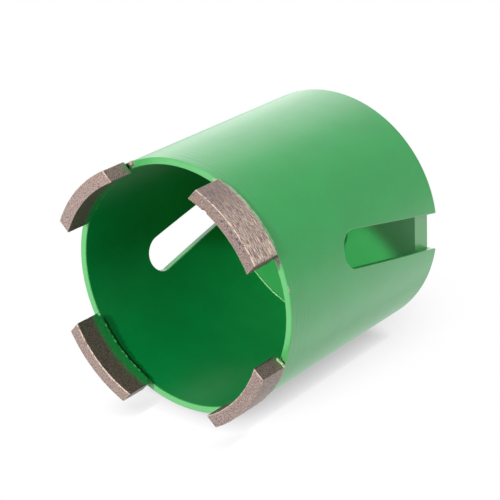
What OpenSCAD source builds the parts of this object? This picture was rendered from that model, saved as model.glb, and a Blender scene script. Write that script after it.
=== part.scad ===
// Dry core drill bit: a thin steel barrel with slanted chip slots, a turned back plate with a threaded
// boss for the spindle, and sintered diamond segments welded onto the barrel's rim.
// Millimetres. The barrel's back face is at z = 0, its axis is +Z, and the cutting end points up.
// The first slot's middle lies on +X.

/* [Cutting edge] */
// Diameter of the hole that the bit cuts, over the outsides of the segments
cut_d = 72; // [60:1:90]
// How far each segment stands proud of the barrel on the outside
seg_out = 0.7; // [0.4:0.05:1.2]
// How far each segment stands proud of the barrel's bore on the inside
seg_in = 1.15; // [0.6:0.05:1.6]
// Length of a segment, straight across between its parallel ends
seg_w = 24; // [16:0.5:30]
// Height of a segment above the barrel's rim
seg_h = 9.8; // [7:0.1:12]
// Height of the set-in foot by which a segment is welded to the rim
seg_foot_h = 0.45; // [0.3:0.05:0.8]
// Radius of the hollow at each lower corner of a segment, where the weld stops short
seg_notch_r = 1.5; // [0.8:0.1:2]
// Chamfer worn along the cutting edges of a segment
seg_edge = 0.25; // [0.1:0.05:0.5]
// Angle from the first slot round to the first segment, in degrees
seg_start_angle = 40.3; // [30:0.1:50]
// How far each segment was welded off its even station, in degrees
seg_creep = [0.1, -1.2, 0, 1.1];

/* [Barrel] */
// Wall thickness of the barrel
wall = 1.9; // [1.5:0.1:2.6]
// Length of the barrel, from its back face to its rim
barrel_l = 69.2; // [60:0.1:85]
// Radius on the edges of the barrel's rim and back end
rim_round = 0.3; // [0.1:0.05:0.5]

/* [Slots] */
// Width of a slot, which is the diameter of its cutter
slot_w = 10.2; // [8:0.1:12]
// Height of a slot's round end above the back face, to the centre of the round
slot_reach = 39; // [30:0.5:46]
// Slant of a slot from the barrel's axis, in degrees
slot_slant = 11.4; // [0:0.1:15]
// How far the cutter goes below the barrel's bore, into the rim of the back plate
slot_bite = 1.4; // [1:0.1:2.5]

/* [Back plate] */
// Thickness of the back plate
plate_t = 6.4; // [5:0.2:9]
// Gap all round between the back plate and the barrel's bore, which the weld closes
plate_fit = 0.05; // [0.02:0.01:0.1]
// Chamfer round the back plate's outer edges
plate_edge = 0.5; // [0.3:0.1:1]
// Nominal diameter of the spindle thread
thread_d = 16; // [14:1:20]
// Pitch of the spindle thread
thread_pitch = 2; // [1.5:0.5:2.5]
// Chamfer at both mouths of the thread
thread_lead = 1.2; // [0.8:0.1:1.5]
// Wall of the boss round the thread
boss_wall = 1.4; // [1.4:0.1:5]
// Height of the boss above the plate's inner face
boss_h = 8.6; // [6:0.2:14]
// Radius turned where the boss rises from the plate
boss_foot_r = 0.4; // [0.4:0.1:2.5]

/* [Hidden] */

SEG_COUNT = 4;
SLOT_COUNT = 2;
ARC_STEPS = 6;
EPS = 0.01;
$fn = 180;

PAINT = [0.25, 0.62, 0.32];
SINTER = [0.64, 0.57, 0.52];

seg_ro = cut_d / 2;
barrel_r = seg_ro - seg_out;
bore_r = barrel_r - wall;
seg_ri = bore_r - seg_in;
tip_z = barrel_l + seg_h;

thread_bore_r = (thread_d - thread_pitch) / 2;
thread_mouth_r = thread_bore_r + thread_lead;
boss_r = thread_d / 2 + boss_wall;
boss_z = plate_t + boss_h;
boss_edge = thread_lead / 2;
plate_r = bore_r - plate_fit;

slot_floor_r = bore_r - slot_bite;
slot_half_l = slot_reach / 2 / cos(slot_slant);
flat_angle = -asin(tan(slot_slant) * (slot_reach - plate_t) / 2 / slot_floor_r);

// Points of an arc about [x, y] from angle a0 to angle a1
function arc(x, y, r, a0, a1) =
    [for (i = [0 : ARC_STEPS]) let (a = a0 + (a1 - a0) * i / ARC_STEPS) [x + r * cos(a), y + r * sin(a)]];

// Angle of segment number i, counted from 1
function seg_angle(i) = seg_start_angle + (i - 1) * 360 / SEG_COUNT + seg_creep[i - 1];

// Section of the barrel's wall, with all four edges rounded
module barrel_section() {
    x0 = bore_r + rim_round;
    x1 = barrel_r - rim_round;
    y0 = rim_round;
    y1 = barrel_l - rim_round;
    polygon(concat(
        arc(x1, y0, rim_round, -90, 0),
        arc(x1, y1, rim_round, 0, 90),
        arc(x0, y1, rim_round, 90, 180),
        arc(x0, y0, rim_round, 180, 270)
    ));
}

// One slanted slot with a round front end, open at the barrel's back face
module slot_cutter() {
    translate([slot_floor_r, 0, slot_reach / 2])
        rotate([-slot_slant, 0, 0])
            rotate([90, 0, 90])
                linear_extrude(height = seg_ro - slot_floor_r) {
                    translate([0, slot_half_l])
                        circle(d = slot_w);
                    translate([-slot_w / 2, -slot_half_l - slot_w])
                        square([slot_w, 2 * slot_half_l + slot_w]);
                }
}

module slots() {
    for (i = [0 : SLOT_COUNT - 1])
        rotate([0, 0, i * 360 / SLOT_COUNT])
            slot_cutter();
}

// What the slot cutter takes off the back plate's rim: a flat that faces squarely out of the slot
module flat_cutter() {
    depth = seg_ro - slot_floor_r;
    rotate([0, 0, flat_angle])
        translate([slot_floor_r + depth / 2, 0, plate_t / 2])
            rotate([-slot_slant, 0, 0])
                cube([depth, slot_w, 4 * plate_t], center = true);
}

module flats() {
    for (i = [0 : SLOT_COUNT - 1])
        rotate([0, 0, i * 360 / SLOT_COUNT])
            flat_cutter();
}

// Steel tube, milled through from its back face along both slots
module barrel() {
    color(PAINT)
        difference() {
            rotate_extrude()
                barrel_section();
            slots();
        }
}

// Section of the turned plate and its boss, before the thread is bored
module plate_section() {
    polygon(concat(
        [[0, 0], [plate_r - plate_edge, 0], [plate_r, plate_edge]],
        [[plate_r, plate_t - plate_edge], [plate_r - plate_edge, plate_t]],
        arc(boss_r + boss_foot_r, plate_t + boss_foot_r, boss_foot_r, 270, 180),
        [[boss_r, boss_z - boss_edge], [boss_r - boss_edge, boss_z], [0, boss_z]]
    ));
}

// Tapping bore of the spindle thread, with a lead-in at each mouth
module thread_bore() {
    translate([0, 0, -EPS])
        cylinder(h = boss_z + 2 * EPS, r = thread_bore_r);
    translate([0, 0, -EPS])
        cylinder(h = thread_lead + EPS, r1 = thread_mouth_r + EPS, r2 = thread_bore_r);
    translate([0, 0, boss_z - thread_lead])
        cylinder(h = thread_lead + EPS, r1 = thread_bore_r, r2 = thread_mouth_r + EPS);
}

// Turned plate that closes the barrel flush with its back face, with a flat behind each slot
module back_plate() {
    color(PAINT)
        difference() {
            rotate_extrude()
                plate_section();
            thread_bore();
            flats();
        }
}

// Section of a segment across its thickness: the foot, the overhanging body and the worn cutting edges
module segment_section() {
    z1 = barrel_l + seg_foot_h;
    polygon([
        [bore_r, barrel_l],
        [barrel_r, barrel_l],
        [barrel_r, z1],
        [seg_ro, z1],
        [seg_ro, tip_z - seg_edge],
        [seg_ro - seg_edge, tip_z],
        [seg_ri + seg_edge, tip_z],
        [seg_ri, tip_z - seg_edge],
        [seg_ri, z1],
        [bore_r, z1]
    ]);
}

// Outline of a segment seen from outside: parallel ends, worn top corners and hollowed lower corners
module segment_outline() {
    x = seg_w / 2;
    polygon(concat(
        arc(x, barrel_l, seg_notch_r, 180, 90),
        [[x, tip_z - seg_edge], [x - seg_edge, tip_z], [seg_edge - x, tip_z], [-x, tip_z - seg_edge]],
        arc(-x, barrel_l, seg_notch_r, 90, 0)
    ));
}

// One sintered segment, seated on the rim at its own station
module segment(i) {
    color(SINTER)
        rotate([0, 0, seg_angle(i)])
            intersection() {
                rotate_extrude()
                    segment_section();
                rotate([90, 0, 90])
                    linear_extrude(height = seg_ro + seg_out)
                        segment_outline();
            }
}

barrel();
back_plate();
segment(1);  // segment_1
segment(2);  // segment_2
segment(3);  // segment_3
segment(4);  // segment_4
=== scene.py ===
"""Dry core drill bit: a green painted steel barrel with two slanted chip slots, a threaded back plate and
four sintered diamond segments welded onto the barrel's rim.

The bit stands on its back face, its axis is +Z and the first slot's middle lies on +X. Sizes come from the
frame where it has them, and the rest are real sizes in millimetres, turned into metres by MM.
"""

import logging
import math
from collections.abc import Callable, Iterator
from contextlib import contextmanager
from dataclasses import dataclass, field
from enum import Enum, IntEnum

import bmesh
import bpy
from mathutils import Matrix, Vector


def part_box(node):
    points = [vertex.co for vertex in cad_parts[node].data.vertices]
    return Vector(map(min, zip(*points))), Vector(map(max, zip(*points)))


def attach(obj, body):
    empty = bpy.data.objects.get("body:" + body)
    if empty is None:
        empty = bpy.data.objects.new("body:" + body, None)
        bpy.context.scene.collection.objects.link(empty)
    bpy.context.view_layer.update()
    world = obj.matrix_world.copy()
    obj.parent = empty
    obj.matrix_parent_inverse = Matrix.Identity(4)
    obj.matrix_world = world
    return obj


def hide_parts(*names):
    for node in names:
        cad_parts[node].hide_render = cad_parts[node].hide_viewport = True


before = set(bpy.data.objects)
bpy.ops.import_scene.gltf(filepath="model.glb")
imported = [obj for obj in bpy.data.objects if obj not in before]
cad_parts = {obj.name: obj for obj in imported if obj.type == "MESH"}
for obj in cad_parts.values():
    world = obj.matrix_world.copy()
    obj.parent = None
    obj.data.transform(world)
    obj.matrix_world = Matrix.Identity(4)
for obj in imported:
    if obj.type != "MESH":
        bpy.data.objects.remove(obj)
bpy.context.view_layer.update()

LOG = logging.getLogger("core_bit")
Colour = tuple[float, float, float, float]
Triple = tuple[float, float, float]
Piece = bpy.types.Object
Material = bpy.types.Material
Group = bpy.types.NodeTree
Socket = bpy.types.NodeSocket
MM = 0.001
NEAR = 0.02 * MM
BODY = "root"
SEGMENTS = ("segment_1", "segment_2", "segment_3", "segment_4")


class Slot(Enum):
    """Material slots of the record."""

    PAINT = "green_paint"
    SINTER = "sintered_segment"


class Pick(Enum):
    """What a selection in edit mode is made of."""

    VERTS = "VERT"
    EDGES = "EDGE"
    FACES = "FACE"


class Stock(Enum):
    """Primitives that a piece is started from."""

    CUBE = "cube"
    CYLINDER = "cylinder"
    BALL = "ico_sphere"
    PLANE = "plane"


class Tool(Enum):
    """Modifiers that a piece is worked with."""

    CUT = "BOOLEAN"
    SKIN = "REMESH"
    ROUGHEN = "DISPLACE"
    THREAD = "SCREW"
    SHADE = "WEIGHTED_NORMAL"


class Coat(IntEnum):
    """Parts of a painted piece whose coat differs, in the order of its materials."""

    BODY = 0
    # Thinner coat on broken edges, lighter also as painted highlight.
    EDGE = 1
    # The bore's coat is painted darker, as shade inside the barrel.
    BORE = 2
    # Painted shade down in the grooves beside the welds.
    GROOVE_SHADE = 3


# Hand operations


def take(piece: Piece) -> None:
    """Selects one piece alone and makes it active."""
    bpy.ops.object.select_all(action="DESELECT")
    bpy.context.view_layer.objects.active = piece
    piece.select_set(True)


@contextmanager
def editing(piece: Piece, mode: Pick = Pick.FACES) -> Iterator[None]:
    """Opens a piece in edit mode with nothing selected, and closes it again.

    Args:
        piece: The mesh to shape.
        mode: What is selected while it is open.
    """
    take(piece)
    bpy.ops.object.mode_set(mode="EDIT")
    bpy.ops.mesh.select_mode(type=mode.value)
    bpy.ops.mesh.select_all(action="DESELECT")
    try:
        yield
    finally:
        bpy.ops.object.mode_set(mode="OBJECT")


def pick(piece: Piece, kind: Pick, test: Callable[[object], bool]) -> int:
    """Selects what passes a test, in the piece that is open in edit mode, and nothing else.

    Args:
        piece: The piece in edit mode.
        kind: Whether vertices, edges or faces are tested.
        test: Says of one element whether it is selected.

    Returns:
        How many were selected.
    """
    mesh = bmesh.from_edit_mesh(piece.data)
    bpy.ops.mesh.select_mode(type=kind.value)
    bpy.ops.mesh.select_all(action="DESELECT")
    elements = {Pick.VERTS: mesh.verts, Pick.EDGES: mesh.edges, Pick.FACES: mesh.faces}[kind]
    chosen = [e for e in elements if test(e)]
    for element in chosen:
        element.select_set(True)
    mesh.select_flush_mode()
    bmesh.update_edit_mesh(piece.data)
    return len(chosen)


def primitive(stock: Stock, name: str, **size: object) -> Piece:
    """Adds a primitive at its size and place, with its place put into the mesh.

    Args:
        stock: The primitive.
        name: The piece's name.
        **size: The operator's own settings.

    Returns:
        The new piece, with its object at the origin.
    """
    bpy.ops.object.select_all(action="DESELECT")
    getattr(bpy.ops.mesh, f"primitive_{stock.value}_add")(**size)
    piece = bpy.context.object
    piece.name = piece.data.name = name
    bpy.ops.object.transform_apply(location=True, rotation=True, scale=True)
    return piece


def linked(name: str, data: bpy.types.ID) -> Piece:
    """Puts a mesh, curve, lamp or camera into the scene as an object at the origin, and returns it."""
    piece = bpy.data.objects.new(name, data)
    bpy.context.scene.collection.objects.link(piece)
    return piece


def outline(name: str, points: list[Triple], closed_face: bool) -> Piece:
    """Draws one closed outline to be swept.

    Args:
        name: The piece's name.
        points: Its corners, in order.
        closed_face: Whether it is a face, or else a ring of edges.

    Returns:
        The outline.
    """
    count = len(points)
    edges = [] if closed_face else [(i, (i + 1) % count) for i in range(count)]
    faces = [tuple(range(count))] if closed_face else []
    mesh = bpy.data.meshes.new(name)
    mesh.from_pydata(points, edges, faces)
    return linked(name, mesh)


def apply(piece: Piece, tool: Tool, **settings: object) -> None:
    """Adds a modifier to a piece and applies it.

    Args:
        piece: The piece that takes it.
        tool: The modifier.
        **settings: The modifier's own settings.
    """
    take(piece)
    modifier = piece.modifiers.new(tool.name.title(), tool.value)
    for name, value in settings.items():
        setattr(modifier, name, value)
    bpy.ops.object.modifier_apply(modifier=modifier.name)


def cut(piece: Piece, *cutters: Piece) -> None:
    """Cuts each cutter's shape out of a piece, and takes the cutters away.

    Args:
        piece: The piece that is cut.
        *cutters: Closed pieces.
    """
    for cutter in cutters:
        apply(piece, Tool.CUT, operation="DIFFERENCE", solver="EXACT", object=cutter)
        bpy.data.objects.remove(cutter)


def displace(piece: Piece, name: str, grain: float, depth: float, layers: int, middle: float) -> None:
    """Roughens a piece with clouds.

    Args:
        piece: The piece to roughen.
        name: Name of the clouds.
        grain: Size of one cloud, in metres.
        depth: Height from the lowest to the highest place, in metres.
        layers: How many finer layers the clouds have.
        middle: Share of the height that lies inwards.
    """
    clouds = bpy.data.textures.new(name, "CLOUDS")
    clouds.noise_scale = grain
    clouds.noise_depth = layers
    apply(piece, Tool.ROUGHEN, texture=clouds, strength=depth, mid_level=middle, texture_coords="LOCAL")


def smooth(piece: Piece, angle: float = 40.0) -> None:
    """Shades a piece smooth below an angle, with the large faces keeping their own normals.

    Args:
        piece: The piece to shade.
        angle: Edges sharper than this stay sharp, in degrees.
    """
    take(piece)
    bpy.ops.object.shade_smooth_by_angle(angle=math.radians(angle))
    apply(piece, Tool.SHADE, keep_sharp=True)


def dressed(piece: Piece, materials: tuple[Material, ...], slot: Slot, *nodes: str) -> Piece:
    """Dresses a piece, lets it ride on the frame, and lets it stand for its CAD nodes.

    Args:
        piece: The finished piece.
        materials: Its finishes, in the order that its faces count them.
        slot: The record's slot that the finishes stand for. It is not used.
        *nodes: The CAD nodes that it replaces.

    Returns:
        The piece.
    """
    for material in materials:
        piece.data.materials.append(material)
    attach(piece, BODY)
    if nodes:
        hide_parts(*nodes)
    return piece


# Sizes and places


@dataclass(frozen=True)
class Turned:
    """Radii and heights of a round CAD node about the part's axis, in metres.

    Attributes:
        inner: Its smallest radius.
        outer: Its largest radius.
        low: Height of its lowest point.
        high: Height of its highest point.
    """

    inner: float
    outer: float
    low: float
    high: float

    @classmethod
    def of(cls, node: str) -> "Turned":
        """Measures a CAD node.

        Args:
            node: The node's name.

        Returns:
            Its radii and heights.
        """
        low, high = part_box(node)
        radii = [v.co.xy.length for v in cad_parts[node].data.vertices]
        return cls(min(radii), max(radii), low.z, high.z)


def station(node: str) -> float:
    """Angle of a segment's middle about the part's axis, in radians."""
    points = [v.co.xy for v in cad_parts[node].data.vertices]
    middle = sum(points, Vector((0.0, 0.0))) / len(points)
    return math.atan2(middle.y, middle.x)


def about_axis(angle: float) -> Matrix:
    """A turn about the part's axis, by an angle in radians."""
    return Matrix.Rotation(angle, 4, "Z")


@dataclass(frozen=True)
class Mark:
    """A small place on the rim or a segment, where the finish or the shape differs.

    Attributes:
        angle: Station about the axis, in degrees.
        radius: Distance from the axis, in millimetres.
        height: Height above the back face, in millimetres.
        size: Radius of the mark, in millimetres.
    """

    angle: float
    radius: float
    height: float
    size: float

    def place(self) -> Vector:
        """Where the mark's middle lies, in metres."""
        turn = math.radians(self.angle)
        return Vector((self.radius * math.cos(turn), self.radius * math.sin(turn), self.height)) * MM


# Shader wiring


class Wiring:
    """Adds shader nodes to one tree and joins them."""

    def __init__(self, tree: Group) -> None:
        """Takes the tree that the nodes go into."""
        self.tree = tree

    def join(self, value: object, socket: Socket) -> None:
        """Links a socket into an input, or writes a plain value there."""
        if isinstance(value, Socket):
            self.tree.links.new(value, socket)
        else:
            socket.default_value = value

    def add(self, kind: str, settings: dict[str, object] | None = None, **inputs: object) -> bpy.types.Node:
        """Adds a node.

        Args:
            kind: The node's type after ShaderNode, such as TexNoise.
            settings: The node's own settings.
            **inputs: Its inputs by name, with _ for a space.

        Returns:
            The node.
        """
        node = self.tree.nodes.new("ShaderNode" + kind)
        for name, value in (settings or {}).items():
            setattr(node, name, value)
        for name, value in inputs.items():
            self.join(value, node.inputs[name.replace("_", " ")])
        return node

    def math(self, operation: str, *values: object) -> Socket:
        """Adds a Math node with one or two sockets or numbers, and returns its output."""
        node = self.add("Math", {"operation": operation})
        for value, socket in zip(values, node.inputs):
            self.join(value, socket)
        return node.outputs[0]

    def plus(self, first: object, second: object) -> Socket:
        """The sum of two values."""
        return self.math("ADD", first, second)

    def minus(self, first: object, second: object) -> Socket:
        """The first value less the second."""
        return self.math("SUBTRACT", first, second)

    def times(self, first: object, *others: object) -> Socket:
        """The product of all values."""
        for other in others:
            first = self.math("MULTIPLY", first, other)
        return first

    def above(self, value: object, limit: float) -> Socket:
        """1 where a value is more than a limit, else 0."""
        return self.math("GREATER_THAN", value, limit)

    def below(self, value: object, limit: float) -> Socket:
        """1 where a value is less than a limit, else 0."""
        return self.math("LESS_THAN", value, limit)

    def most(self, first: object, second: object) -> Socket:
        """The larger of two values."""
        return self.math("MAXIMUM", first, second)

    def vector(self, operation: str, *values: object) -> bpy.types.Node:
        """Adds a Vector Math node, and returns it."""
        node = self.add("VectorMath", {"operation": operation})
        for value, socket in zip(values, node.inputs):
            self.join(value, socket)
        return node

    def _mixer(self, settings: dict[str, object], kind: str, *values: object) -> Socket:
        """Adds a Mix node with its share and two inputs of one kind, and returns its result."""
        node = self.add("Mix", settings)
        for value, name in zip(values, ("Factor_Float", f"A_{kind}", f"B_{kind}")):
            self.join(value, next(s for s in node.inputs if s.identifier == name))
        return next(s for s in node.outputs if s.identifier == f"Result_{kind}")

    def mix(self, share: object, first: object, second: object, blend: str = "MIX") -> Socket:
        """Mixes two colours, and returns the mixed one."""
        return self._mixer({"data_type": "RGBA", "blend_type": blend}, "Color", share, first, second)

    def between(self, share: object, first: object, second: object) -> Socket:
        """Mixes two numbers, and returns the mixed one."""
        return self._mixer({"data_type": "FLOAT"}, "Float", share, first, second)

    def step(self, value: object, low: object, high: object) -> Socket:
        """A soft step: 0 at low, 1 at high, and smooth between them."""
        soft = {"interpolation_type": "SMOOTHSTEP"}
        return self.add("MapRange", soft, Value=value, From_Min=low, From_Max=high).outputs["Result"]

    def noise(self, place: object, grain: float, detail: float = 2.0, rough: float = 0.5) -> Socket:
        """Noise between 0 and 1.

        Args:
            place: The coordinates, in metres.
            grain: Size of one blotch, in metres.
            detail: How many finer layers it has.
            rough: How strong the finer layers are.

        Returns:
            The noise's value.
        """
        node = self.add("TexNoise", Vector=place, Scale=1.0 / grain, Detail=detail, Roughness=rough)
        return node.outputs["Fac"]

    def away_from(self, value: Socket, middle: float, span: float) -> Socket:
        """How far a value lies from its middle, stretched to a span."""
        return self.times(self.minus(value, middle), span)


GroupParts = tuple[Wiring, bpy.types.NodeOutputs, bpy.types.NodeInputs]


def node_group(name: str, inputs: dict[str, str], outputs: dict[str, str]) -> GroupParts:
    """Starts a shader node group with named sockets.

    Args:
        name: The group's name.
        inputs: Each input's name, and its socket type after NodeSocket.
        outputs: The same for the outputs.

    Returns:
        The wiring to fill it with, the sockets that its inputs come from, and those that its outputs go to.
    """
    tree = bpy.data.node_groups.new(name, "ShaderNodeTree")
    for in_out, sockets in (("INPUT", inputs), ("OUTPUT", outputs)):
        for socket, kind in sockets.items():
            tree.interface.new_socket(socket, in_out=in_out, socket_type="NodeSocket" + kind)
    start, end = tree.nodes.new("NodeGroupInput"), tree.nodes.new("NodeGroupOutput")
    return Wiring(tree), start.outputs, end.inputs


@dataclass
class SharedEffects:
    """The node groups that more than one finish uses, built once.

    Attributes:
        lathe: Coordinates of turned work.
        spot: Mask of one local mark.
        mottle: A tone and a grain that vary over a surface.
        ragged_grain: Size of the teeth in a local mark's edge, in metres.
    """

    lathe: Group = field(init=False)
    spot: Group = field(init=False)
    mottle: Group = field(init=False)
    ragged_grain: float = 0.5 * MM

    def __post_init__(self) -> None:
        """Builds the groups."""
        self.lathe = self._lathe()
        self.spot = self._spot()
        self.mottle = self._mottle()

    @staticmethod
    def _lathe() -> Group:
        """Builds the coordinates of turned work: long lines round the axis, and fine ones across them.

        Returns:
            The group. Its input Place is an Object coordinate, and Stretch is how many times longer a blotch
            gets round the axis. Its outputs are the stretched coordinates, the radius and the height.
        """
        w, given, result = node_group(
            "lathe_coordinates",
            {"Place": "Vector", "Stretch": "Float"},
            {"Lines": "Vector", "Radius": "Float", "Height": "Float"},
        )
        xyz = w.add("SeparateXYZ", Vector=given["Place"]).outputs
        flat = w.add("CombineXYZ", X=xyz["X"], Y=xyz["Y"], Z=0.0).outputs[0]
        radius = w.vector("LENGTH", flat).outputs["Value"]
        share = w.math("DIVIDE", 1.0, given["Stretch"])
        around = w.vector("SCALE", flat)
        w.join(share, around.inputs["Scale"])
        split = w.add("SeparateXYZ", Vector=around.outputs[0]).outputs
        deep = w.minus(radius, w.times(radius, share))
        lines = w.add("CombineXYZ", X=w.plus(split["X"], deep), Y=split["Y"], Z=xyz["Z"])
        w.join(lines.outputs[0], result["Lines"])
        w.join(radius, result["Radius"])
        w.join(xyz["Z"], result["Height"])
        return w.tree

    def _spot(self) -> Group:
        """Builds the mask of one local mark with a ragged edge.

        Returns:
            The group. Its inputs are the place, the mark's centre and radius, and how ragged its edge is, all
            in metres, and its output is the mask.
        """
        w, given, result = node_group(
            "local_mark",
            {"Place": "Vector", "Centre": "Vector", "Radius": "Float", "Ragged": "Float"},
            {"Mask": "Float"},
        )
        away = w.vector("DISTANCE", given["Place"], given["Centre"]).outputs["Value"]
        noise = w.noise(given["Place"], self.ragged_grain, detail=3.0)
        edge = w.plus(away, w.away_from(noise, 0.5, given["Ragged"]))
        inner = w.times(given["Radius"], 0.75)
        w.join(w.minus(1.0, w.step(edge, inner, given["Radius"])), result["Mask"])
        return w.tree

    @staticmethod
    def _mottle() -> Group:
        """Builds a tone that varies over a surface at two scales, with a fine grain for the bump.

        Returns:
            The group. Its inputs are the place, and the sizes of the blotches and of the grain in metres. Its
            outputs are the tone and the grain, both about 0.5.
        """
        w, given, result = node_group(
            "mottle",
            {"Place": "Vector", "Blotch": "Float", "Grain": "Float"},
            {"Tone": "Float", "Grain": "Float"},
        )
        for name, size, detail in (("Tone", "Blotch", 4.0), ("Grain", "Grain", 2.0)):
            scale = w.math("DIVIDE", 1.0, given[size])
            noise = w.add("TexNoise", Vector=given["Place"], Scale=scale, Detail=detail)
            w.join(noise.outputs["Fac"], result[name])
        return w.tree


class Finish:
    """A material being wired: its shader, its coordinates and the groups that it uses."""

    def __init__(self, name: str, effects: SharedEffects) -> None:
        """Starts a material with a Principled BSDF.

        Args:
            name: The material's name.
            effects: The shared groups.
        """
        self.material = bpy.data.materials.new(name)
        self.material.use_nodes = True
        self.effects = effects
        self.wiring = Wiring(self.material.node_tree)
        self.shader = self.material.node_tree.nodes["Principled BSDF"]
        self.place = self.wiring.add("TexCoord").outputs["Object"]

    def use(self, group: Group, **inputs: object) -> bpy.types.NodeOutputs:
        """Places a shared group with its own values, and returns its outputs."""
        node = self.wiring.tree.nodes.new("ShaderNodeGroup")
        node.node_tree = group
        for name, value in inputs.items():
            self.wiring.join(value, node.inputs[name])
        return node.outputs

    def marked(self, colour: object, marks: tuple[Mark, ...], tone: Colour, ragged: float,
               share: float) -> Socket:
        """Lays local marks of one tone over a colour.

        Args:
            colour: The colour beneath.
            marks: Where they lie and how large they are.
            tone: Their colour.
            ragged: How ragged their edges are, as a share of their size.
            share: How much of the colour beneath they hide.

        Returns:
            The colour with its marks.
        """
        for mark in marks:
            size = mark.size * MM
            spot = self.use(self.effects.spot, Place=self.place, Centre=mark.place(), Radius=size,
                            Ragged=ragged * size)
            colour = self.wiring.mix(self.wiring.times(spot["Mask"], share), colour, tone)
        return colour

    def set(self, **inputs: object) -> None:
        """Joins values or sockets to the shader's inputs by name, with _ for a space."""
        for name, value in inputs.items():
            self.wiring.join(value, self.shader.inputs[name.replace("_", " ")])

    def bump(self, height: object, distance: float, strength: float) -> None:
        """Gives the shader a bump of that height, whose full depth is distance, in metres."""
        node = self.wiring.add("Bump", Height=height, Distance=distance, Strength=strength)
        self.set(Normal=node.outputs["Normal"])


# Finishes


@dataclass(frozen=True)
class GreenPaint:
    """Semi-gloss green powder coat over turned steel, with fine orange peel, a few bare places and painted
    shade in weld pits.

    Attributes:
        name: The material's name.
        colour: The paint's colour.
        deep: Its colour in the darker patches, which are hardly darker.
        roughness: The paint's roughness.
        gloss: Its specular level.
        coat: Weight of its clear top.
        smear: The colour of the weld soot on the rim.
        chip: The colour of the primer where the coat has come off.
        pit_shade: The near-black colour down in a weld crater and a crack, which is painted shade.
        crest: The colour of the paint on the crests of the turned lines.
        rim: Height of the barrel's rim, in metres.
        wall: Radius from which a surface counts as the barrel's outside, in metres.
        turned: How far below the rim the turned lines run out, in metres.
        line: Width of a turned line, in metres.
        line_length: How many times longer than wide a turned line is.
        line_relief: How many times higher than the orange peel the turned lines are.
        crest_share: How much of the crests' own colour shows.
        coat_roughness: Roughness of its clear top.
        blotch: Size of a darker patch, in metres.
        peel: Size of the orange peel, in metres.
        relief: Height of the orange peel, in metres.
        smears: Where weld soot lies.
        chips: Where the coat has come off.
        shaded_pits: Where the weld left a crater or a crack, which are painted dark as shade.
    """

    name: str = "green_powder_coat"
    colour: Colour = (0.0015, 0.385, 0.066, 1.0)
    deep: Colour = (0.0015, 0.355, 0.060, 1.0)
    roughness: float = 0.40
    gloss: float = 0.55
    coat: float = 0.31
    smear: Colour = (0.16, 0.15, 0.09, 1.0)
    chip: Colour = (0.36, 0.42, 0.29, 1.0)
    pit_shade: Colour = (0.01, 0.025, 0.012, 1.0)
    crest: Colour = (0.10, 0.50, 0.16, 1.0)
    rim: float = 69.2 * MM
    wall: float = 34.9 * MM
    turned: float = 14 * MM
    line: float = 0.42 * MM
    line_length: float = 60.0
    line_relief: float = 4.0
    crest_share: float = 0.22
    coat_roughness: float = 0.22
    blotch: float = 9 * MM
    peel: float = 0.5 * MM
    relief: float = 0.028 * MM
    smears: tuple[Mark, ...] = (Mark(20.2, 34.6, 69.2, 0.9), Mark(17.4, 34.8, 69.1, 0.7))
    chips: tuple[Mark, ...] = (
        Mark(5.6, 35.4, 69.05, 0.4),
        Mark(4.5, 35.4, 69.0, 0.3),
        Mark(6.8, 35.35, 69.1, 0.3),
        Mark(62.2, 34.6, 69.2, 0.4),
        Mark(199.9, 33.5, 69.2, 0.35),
    )
    # Painted shade: a weld crater, and a dotted dark line for the crack beside segment 4's ledge.
    shaded_pits: tuple[Mark, ...] = (
        Mark(111.0, 34.3, 69.2, 0.75),
        Mark(333.1, 33.6, 69.2, 0.26),
        Mark(332.6, 34.05, 69.2, 0.30),
        Mark(332.1, 34.5, 69.2, 0.30),
        Mark(331.6, 34.95, 69.2, 0.26),
    )

    def material(self, effects: SharedEffects) -> Material:
        """Wires the paint.

        Args:
            effects: The shared groups.

        Returns:
            The material.
        """
        finish = Finish(self.name, effects)
        w = finish.wiring
        mottle = finish.use(effects.mottle, Place=finish.place, Blotch=self.blotch, Grain=self.peel)
        lathe = finish.use(effects.lathe, Place=finish.place, Stretch=self.line_length)
        outside = w.above(lathe["Radius"], self.wall)
        near_rim = w.step(lathe["Height"], self.rim - self.turned, self.rim - 1 * MM)
        lines = w.times(outside, near_rim, w.noise(lathe["Lines"], self.line))
        colour = w.mix(w.step(mottle["Tone"], 0.35, 0.65), self.colour, self.deep)
        colour = w.mix(w.times(w.step(lines, 0.45, 0.75), self.crest_share), colour, self.crest)
        # The pits' near-black is painted shade; the smears and chips are the coat's own colour.
        for marks, tone in ((self.smears, self.smear), (self.chips, self.chip), (self.shaded_pits, self.pit_shade)):
            colour = finish.marked(colour, marks, tone, ragged=1.6, share=0.9)
        height = w.plus(mottle["Grain"], w.times(lines, self.line_relief))
        finish.set(Base_Color=colour, Roughness=self.roughness, IOR=1.5, Specular_IOR_Level=self.gloss)
        finish.set(Coat_Weight=self.coat, Coat_Roughness=self.coat_roughness)
        finish.bump(height, self.relief, 0.8)
        return finish.material


@dataclass(frozen=True)
class Wear:
    """How one segment looks apart from the others. Shares run from 0 to 1.

    Attributes:
        spray: How far up its inside the overspray reaches, in millimetres.
        tone: How light its metal is, where 1 is the lightest segment.
        inside: How dark its inner face is, by soot and painted shade.
        ends: How dark its two ends are, by soot and painted shade.
        edges: How bright its outer cutting edge, its inner one and its end edges are. The first also sets the
            painted highlight along the outer foot edge.
        rust: How much of its tip is warm and orange.
        warm_end: Which end is the warmer one, 1 or -1. Its outer face darkens towards it as painted shade.
        scores: How strongly circumferential scores show on its outside, and how strong the painted shade and
            sheen along its outer face are.
        seed: Shifts its pattern, in metres.
        pores: Its large pores.
    """

    spray: float
    tone: float
    inside: float
    ends: float
    edges: Triple
    rust: float
    warm_end: float
    scores: float
    seed: float
    pores: tuple[Mark, ...] = ()


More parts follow.
